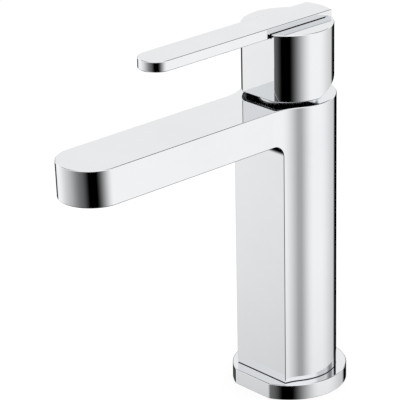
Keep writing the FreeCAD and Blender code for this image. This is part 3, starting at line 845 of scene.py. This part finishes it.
# =====================================================================================
# the handle
# =====================================================================================
def hub_outline():
    """The hub's plan: a circle with a flat front, with a point where the rear relief starts."""
    centre_y = HUB_FRONT_Y + EDGE
    centre_x = math.sqrt((HUB_R - EDGE) ** 2 - centre_y ** 2)
    meet = math.degrees(math.atan2(centre_y, centre_x))
    hinge = math.degrees(math.asin(RELIEF_FROM_Y / HUB_R))
    run = arc_run((centre_x, centre_y), EDGE, -90.0, meet, step=CORNER_STEP)
    run += arc_run((0, 0), HUB_R, meet, hinge)[1:]
    run += arc_run((0, 0), HUB_R, hinge, 90.0)[1:]
    return run + mirrored(run)[1:]


def hub_foot(y):
    return HUB_BOTTOM + max(0.0, y - RELIEF_FROM_Y) * RELIEF_SLOPE


def hub_shell(chrome, dark):
    """A drum open below, from its ceiling down the inside, round the foot and up to the top."""
    outline = hub_outline()

    def foot_ring(inset, lift):
        return [Vector((p.x, p.y, hub_foot(p.y) + lift)) for p in ring_at(outline, 0.0, inset)]

    rows = [ring_at(outline, ROOF_UNDERSIDE, HUB_WALL)]
    rows.append(foot_ring(HUB_WALL, EDGE / 2))
    rows.append(foot_ring(HUB_WALL - EDGE / 2, 0.0))
    rows += [foot_ring(inset, drop) for inset, drop in reversed(rounding())]
    rows.append(foot_ring(0.0, EDGE))
    rows.append(ring_at(outline, HUB_TOP - EDGE))
    rows += [ring_at(outline, HUB_TOP - drop, inset) for inset, drop in rounding()]
    shell = Shell()
    shell.strip(rows, closed=True)
    shell.face(rows[0])
    shell.face(rows[-1])
    return shell.build("handle_drum", chrome, dark)


def darken_inside(hub):
    """Gives the hub's inside and its flat underside the second, dark finish: partly the bare unplated
    metal, partly painted shade inside and under the drum.
    """
    for face in hub.data.polygons:
        middle = face.center
        within = (
            math.hypot(middle.x, middle.y) < HUB_R - HUB_WALL + EDGE
            and middle.y > HUB_FRONT_Y + HUB_WALL - EDGE
        )
        at_foot = middle.z - hub_foot(middle.y) < EDGE / 8
        underside = face.normal.z < DOWNWARD and at_foot
        if underside or (within and middle.z < HUB_TOP - EDGE):
            face.material_index = 1


def lever_slot(chrome):
    """The cutter for the lever's seat across the hub's top, with flared mouths."""
    flare = EDGE / 4
    half = LEVER_SLOT_HALF_WIDTH
    right = [
        (half, LEVER_BOTTOM), (half, HUB_TOP - flare), (half + flare, HUB_TOP),
        (half + flare, HUB_TOP + CLEAR),
    ]
    section = right + [(-x, z) for x, z in reversed(right)]
    ends = [[Vector((x, y, z)) for x, z in section] for y in (-HUB_R - CLEAR, HUB_R + CLEAR)]
    shell = Shell()
    shell.strip(ends, closed=True)
    shell.face(ends[0])
    shell.face(ends[1])
    return shell.build("cutter", chrome)


def handle_hub(chrome, brass, dark):
    hub = hub_shell(chrome, dark)
    darken_inside(hub)
    boss = turned("boss", [(BOSS_R, BOSS_BOTTOM), (BOSS_R, ROOF_UNDERSIDE + HUB_WALL / 2)], brass)
    combine(hub, [boss], "UNION")
    cutters = [lever_slot(chrome)]
    cutters.append(box_cutter(
        SOCKET_HALF, -SOCKET_HALF, SOCKET_HALF, BOSS_BOTTOM - CLEAR, ROOF_UNDERSIDE, brass
    ))
    for y in (-LEVER_SCREW_Y, LEVER_SCREW_Y):
        cutters.append(drill(
            LEVER_SCREW_R + FIT_GAP, ROOF_UNDERSIDE - EDGE, LEVER_BOTTOM + EDGE, 0.0, y, brass
        ))
    cutters.append(along_y(drill(GRUB_SCREW_R, 0.0, BOSS_R + EDGE, 0.0, 0.0, brass)))
    cutters.append(along_y(drill(PLUG_R, HUB_R - PLUG_HOLE_DEPTH, HUB_R + EDGE, 0.0, 0.0, brass)))
    combine(hub, cutters)
    finish_piece(hub, "lift", "chrome_plate", "handle_hub")


def along_y(cutter):
    """Lays an upright cutter along +Y at the grub screw's height."""
    turn = Matrix(((1, 0, 0, 0), (0, 0, 1, 0), (0, -1, 0, GRUB_SCREW_Z), (0, 0, 0, 1)))
    cutter.data.transform(turn)
    return cutter


def lever_outline():
    """A round tip, straight sides and a back end that follows the drum's curve."""
    centre_x = LEVER_HALF_WIDTH - EDGE
    centre_y = math.sqrt((LEVER_BACK_R - EDGE) ** 2 - centre_x ** 2)
    meet = math.degrees(math.atan2(centre_y, centre_x))
    run = arc_run((0, LEVER_TIP_Y), LEVER_HALF_WIDTH, -90.0, 0.0)
    run += arc_run((centre_x, centre_y), EDGE, 0.0, meet, step=CORNER_STEP)
    run += arc_run((0, 0), LEVER_BACK_R, meet, 90.0)[1:]
    return run + mirrored(run)[1:-1]


def lever_blade(chrome, brass):
    lever = prism("lever", lever_outline(), rounded_levels(LEVER_BOTTOM, LEVER_TOP), chrome)
    holes = []
    for y in (-LEVER_SCREW_Y, LEVER_SCREW_Y):
        holes.append(drill(LEVER_SCREW_R, LEVER_BOTTOM - EDGE, LEVER_SCREW_TOP, 0.0, y, brass))
    combine(lever, holes)
    finish_piece(lever, "lift", "chrome_plate", "lever_blade")


def screw_plug(chrome):
    """A small round plug whose face follows the drum."""
    radius = PLUG_R - THREAD_GAP

    def ring(r, y_at):
        points = []
        for i in range(PLUG_STEPS):
            a = 2 * math.pi * i / PLUG_STEPS
            x = r * math.cos(a)
            points.append(Vector((x, y_at(x), GRUB_SCREW_Z + r * math.sin(a))))
        return points

    def face_ring(r, drop=0.0):
        return ring(r, lambda x: math.sqrt(HUB_R ** 2 - x ** 2) - drop)

    rows = [ring(radius, lambda x: HUB_R - HUB_WALL - FIT_GAP), face_ring(radius, EDGE / 2)]
    rows += [face_ring(radius - inset, drop) for inset, drop in rounding(EDGE / 2)]
    rows += [face_ring(radius * share) for share in (0.75, 0.5, 0.25)]
    shell = Shell()
    shell.strip(rows, closed=True)
    shell.face(rows[0])
    shell.face(rows[-1])
    finish_piece(shell.build("plug", chrome), "lift", "chrome_plate", "screw_plug")


def cartridge_cover(chrome):
    inner_r = COVER_R - COVER_WALL
    profile = [
        (COVER_R, BODY_TOP), (COVER_R, COVER_SHOULDER), (COVER_TOP_R, COVER_TOP - EDGE / 2),
        (COVER_TOP_R - EDGE / 2, COVER_TOP), (COVER_OPENING_R + EDGE / 2, COVER_TOP),
        (COVER_OPENING_R, COVER_TOP - EDGE / 2), (COVER_OPENING_R, COVER_TOP - COVER_WALL),
        (COVER_TOP_R - COVER_WALL, COVER_TOP - COVER_WALL), (inner_r, COVER_SHOULDER),
        (inner_r, NUT_HEX_TOP - COVER_WALL), (COVER_GRIP_R, NUT_HEX_TOP - COVER_WALL),
        (COVER_GRIP_R, BODY_TOP + COVER_WALL), (inner_r, BODY_TOP + COVER_WALL), (inner_r, BODY_TOP),
    ]
    cover = turned("cartridge_cap", profile, chrome, ring=True)
    finish_piece(cover, "root", "chrome_plate", "cartridge_cover")


# =====================================================================================
# the aerator
# =====================================================================================
def aerator_housing(chrome):
    bottom = AERATOR_LOW.z
    outer = AERATOR_R - THREAD_GAP
    bore = AERATOR_R - AERATOR_WALL
    flare = EDGE / 2
    profile = [
        (outer - flare, bottom), (outer, bottom + flare), (outer, AERATOR_HIGH.z),
        (bore, AERATOR_HIGH.z), (bore, bottom + AERATOR_LIP), (AERATOR_LIP_R, bottom + AERATOR_LIP),
        (AERATOR_LIP_R, bottom + flare), (AERATOR_LIP_R + flare, bottom),
    ]
    housing = turned("aerator_ring", profile, chrome, centre=(0.0, -SPOUT_REACH), ring=True)
    notch_y = (AERATOR_R + AERATOR_LIP_R) / 2
    notch = box_cutter(
        NOTCH_HALF_WIDTH, -SPOUT_REACH - notch_y, -SPOUT_REACH + notch_y,
        bottom - EDGE, bottom + AERATOR_LIP, chrome,
    )
    combine(housing, [notch])
    finish_piece(housing, "root", "chrome_plate", "aerator_housing")


# =====================================================================================
# the inner parts
# =====================================================================================
# the nodes that have a function of their own above
DETAILED = (
    "body_casting", "base_plate", "handle_hub", "lever_blade", "screw_plug", "cartridge_cover",
    "aerator_housing",
)


def dress(node, slot):
    """Any other part: a smoothed copy of its CAD node, in its finish."""
    cad = frame["nodes"][node]
    piece = bpy.data.objects.new(node + "_finished", cad.data.copy())
    piece.data.materials.clear()
    piece.data.materials.append(MATERIALS[slot])
    bpy.context.scene.collection.objects.link(piece)
    finish_piece(piece, cad["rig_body"], slot, node)


# =====================================================================================
# stage: camera, floor, light
# =====================================================================================
def make_camera():
    """The photograph's view: a long lens that looks down on the front right."""
    data = bpy.data.cameras.new("camera")
    data.sensor_width = CAMERA_SENSOR
    data.lens = CAMERA_LENS
    camera = bpy.data.objects.new("camera", data)
    bpy.context.scene.collection.objects.link(camera)
    back = Vector((
        math.sin(CAMERA_AZIMUTH) * math.cos(CAMERA_ELEVATION),
        -math.cos(CAMERA_AZIMUTH) * math.cos(CAMERA_ELEVATION),
        math.sin(CAMERA_ELEVATION),
    ))
    right = Vector((math.cos(CAMERA_AZIMUTH), math.sin(CAMERA_AZIMUTH), 0.0))
    up = back.cross(right)
    c = math.cos(CAMERA_ROLL)
    s = math.sin(CAMERA_ROLL)
    turn = Matrix((right * c + up * s, up * c - right * s, back)).transposed()
    camera.matrix_world = Matrix.Translation(CAMERA_TARGET + back * CAMERA_DISTANCE) @ turn.to_4x4()
    bpy.context.scene.camera = camera


def make_floor():
    """A glowing white floor that reflections miss; from below it is transparent."""
    shell = Shell()
    corners = ((-1, -1), (1, -1), (1, 1), (-1, 1))
    shell.face([Vector((x * FLOOR_REACH, y * FLOOR_REACH, 0)) for x, y in corners])
    material = bpy.data.materials.new("floor")
    tree = Tree(material)
    shader = tree.nodes["Principled BSDF"]
    shader.inputs["Base Color"].default_value = (FLOOR_GREY, FLOOR_GREY, FLOOR_GREY, 1)
    shader.inputs["Emission Color"].default_value = (1.0, 1.0, 1.0, 1)
    shader.inputs["Emission Strength"].default_value = FLOOR_GLOW
    shader.inputs["Roughness"].default_value = FLOOR_ROUGHNESS
    shader.inputs["Specular IOR Level"].default_value = 0.0
    mix = tree.nodes.new("ShaderNodeMixShader")
    tree.links.new(tree.nodes.new("ShaderNodeNewGeometry").outputs["Backfacing"], mix.inputs[0])
    tree.links.new(shader.outputs[0], mix.inputs[1])
    tree.links.new(tree.nodes.new("ShaderNodeBsdfTransparent").outputs[0], mix.inputs[2])
    tree.links.new(mix.outputs[0], tree.nodes["Material Output"].inputs["Surface"])
    floor = shell.build("floor", material)
    floor.visible_glossy = False


def flag_material(name, left, dark_from, dark_to, right, darkness):
    """Dark between two directions and clear beyond left and right, soft in between."""
    material = bpy.data.materials.new(name)
    tree = Tree(material)
    tree.nodes.clear()
    middle = math.radians((left + right) / 2)
    spin = tree.nodes.new("ShaderNodeVectorRotate")
    spin.rotation_type = "Z_AXIS"
    spin.inputs["Angle"].default_value = math.pi / 2 - middle
    tree.links.new(tree.nodes.new("ShaderNodeTexCoord").outputs["Object"], spin.inputs["Vector"])
    ahead, aside, _ = tree.split(spin.outputs["Vector"])
    angle = tree.math("ARCTAN2", aside, ahead)
    rise = tree.ramp(angle, math.radians(left) - middle, math.radians(dark_from) - middle)
    fall = tree.ramp(angle, math.radians(right) - middle, math.radians(dark_to) - middle)
    cover = tree.math("MULTIPLY", tree.math("MULTIPLY", rise, fall), darkness)
    dark = tree.nodes.new("ShaderNodeEmission")
    dark.inputs["Color"].default_value = (0, 0, 0, 1)
    mix = tree.nodes.new("ShaderNodeMixShader")
    tree.links.new(cover, mix.inputs[0])
    tree.links.new(tree.nodes.new("ShaderNodeBsdfTransparent").outputs[0], mix.inputs[1])
    tree.links.new(dark.outputs[0], mix.inputs[2])
    out = tree.nodes.new("ShaderNodeOutputMaterial")
    tree.links.new(mix.outputs[0], out.inputs["Surface"])
    return material


def make_flag(name, left, dark_from, dark_to, right, darkness=1.0, distance=FLAG_DISTANCE,
              bottom=FLAG_BOTTOM, top=FLAG_TOP):
    """A curved dark card that only reflections see; it fades out to both sides."""
    rows = []
    for z in (bottom, top):
        row = []
        for i in range(FLAG_STEPS + 1):
            a = math.radians(left + (right - left) * i / FLAG_STEPS)
            row.append(Vector((distance * math.sin(a), -distance * math.cos(a), z)))
        rows.append(row)
    shell = Shell()
    shell.strip(rows, closed=False)
    flag = shell.build(name, flag_material(name, left, dark_from, dark_to, right, darkness))
    flag.visible_camera = False
    flag.visible_diffuse = False
    flag.visible_shadow = False
    flag.visible_transmission = False


def make_flags():
    """Lower cards for the walls, and upper ones for the walls' images, which the tops mirror."""
    shoulder = {
        "left": -52.0, "dark_from": 18.0, "dark_to": 40.0, "right": 44.0,
        "darkness": 0.86, "distance": 0.43,
    }
    upper = {"bottom": UPPER_FLAG_BOTTOM, "top": UPPER_FLAG_TOP}
    make_flag("flag_front", left=12.0, dark_from=32.0, dark_to=50.0, right=108.0)
    make_flag("flag_shoulder", **shoulder)
    make_flag("flag_back", left=-184.0, dark_from=-171.0, dark_to=-112.0, right=-90.0)
    make_flag(
        "flag_back_upper", left=-184.0, dark_from=-171.0, dark_to=-156.0, right=-146.0,
        bottom=FLAG_TOP, top=0.23,
    )
    make_flag(
        "flag_back_fade", left=-235.0, dark_from=-180.0, dark_to=-150.0, right=-140.0,
        darkness=0.32, distance=0.44,
    )
    make_flag("flag_front_upper", left=12.0, dark_from=32.0, dark_to=46.0, right=80.0, **upper)
    make_flag("flag_shoulder_upper", **shoulder, **upper)
    make_flag(
        "flag_echo", left=-112.0, dark_from=-106.0, dark_to=-98.0, right=-92.0,
        bottom=UPPER_FLAG_BOTTOM, top=0.33,
    )
    make_flag(
        "flag_tip", left=-108.0, dark_from=-100.0, dark_to=-84.0, right=-76.0,
        distance=0.41, top=0.04,
    )


class Sky(Tree):
    """A soft white studio as reflections see it; the picture's background stays plain."""

    def __init__(self):
        world = bpy.data.worlds.new("studio")
        bpy.context.scene.world = world
        super().__init__(world)
        self.direction = self.nodes.new("ShaderNodeTexCoord").outputs["Generated"]
        self.height = self.split(self.direction)[2]

    def toward(self, azimuth, elevation):
        """How near a direction is to the given one: 1 when it points there."""
        a = math.radians(azimuth)
        e = math.radians(elevation)
        node = self.nodes.new("ShaderNodeVectorMath")
        node.operation = "DOT_PRODUCT"
        node.inputs[1].default_value = (
            math.sin(a) * math.cos(e), -math.cos(a) * math.cos(e), math.sin(e)
        )
        self.links.new(self.direction, node.inputs[0])
        return node.outputs["Value"]

    def dimmed(self, light, azimuth, elevation, inner, outer, darkness):
        """The light with a soft round patch taken out: full inside inner, none past outer."""
        near = math.cos(math.radians(inner))
        far = math.cos(math.radians(outer))
        kept = self.ramp(self.toward(azimuth, elevation), far, near, 1.0, 1.0 - darkness)
        return self.math("MULTIPLY", light, kept)


def make_world():
    """The studio: light above, dark below, with patches that shade faces and blacken edges."""
    sky = Sky()
    light = sky.ramp(sky.height, SKY_DARK_SINE, SKY_LIGHT_SINE, 0.0, SKY_LIGHT)
    light = sky.dimmed(light, FRONTS_MIRROR, elevation=-50.0, inner=10.0, outer=36.0, darkness=0.26)
    light = sky.dimmed(light, SIDE_EDGES_MIRROR, elevation=47.0, inner=17.0, outer=27.0, darkness=1.0)
    light = sky.dimmed(light, FRONT_EDGES_MIRROR, elevation=50.0, inner=12.0, outer=23.0, darkness=1.0)
    light = sky.dimmed(light, TOPS_MIRROR, elevation=14.0, inner=8.0, outer=34.0, darkness=0.08)
    light = sky.dimmed(light, SIDES_MIRROR, elevation=32.0, inner=8.0, outer=20.0, darkness=0.3)
    light = sky.dimmed(light, FRONTS_MIRROR, elevation=28.0, inner=8.0, outer=22.0, darkness=0.16)
    path = sky.nodes.new("ShaderNodeLightPath")
    glossy = path.outputs["Is Glossy Ray"]
    seen = sky.math("MULTIPLY", light, glossy)
    rest = sky.math("MULTIPLY", sky.math("SUBTRACT", 1.0, glossy), ROOM_LIGHT)
    strength = sky.math("ADD", seen, rest)
    sky.links.new(strength, sky.nodes["Background"].inputs["Strength"])
    sky.nodes["Background"].inputs["Color"].default_value = (1.0, 1.0, 1.0, 1)
    bpy.context.scene.view_settings.view_transform = "Standard"


# =====================================================================================
# the scene
# =====================================================================================
make_camera()
make_floor()
make_world()
make_flags()

MATERIALS = make_materials()
CHROME = MATERIALS["chrome_plate"]
BRASS = MATERIALS["raw_brass"]
# the rubber's black on the seam walls is painted shade between column and plate
body_casting(CHROME, BRASS, MATERIALS["epdm_rubber"])
base_plate(CHROME)
# the hub's inside and underside take this black partly as painted shade
handle_hub(CHROME, BRASS, MATERIALS["blackened_steel"])
lever_blade(CHROME, BRASS)
screw_plug(CHROME)
cartridge_cover(CHROME)
aerator_housing(CHROME)
for row in frame["record"]["subparts"]:
    if row["node"] not in DETAILED:
        dress(row["node"], row["material_slot"])
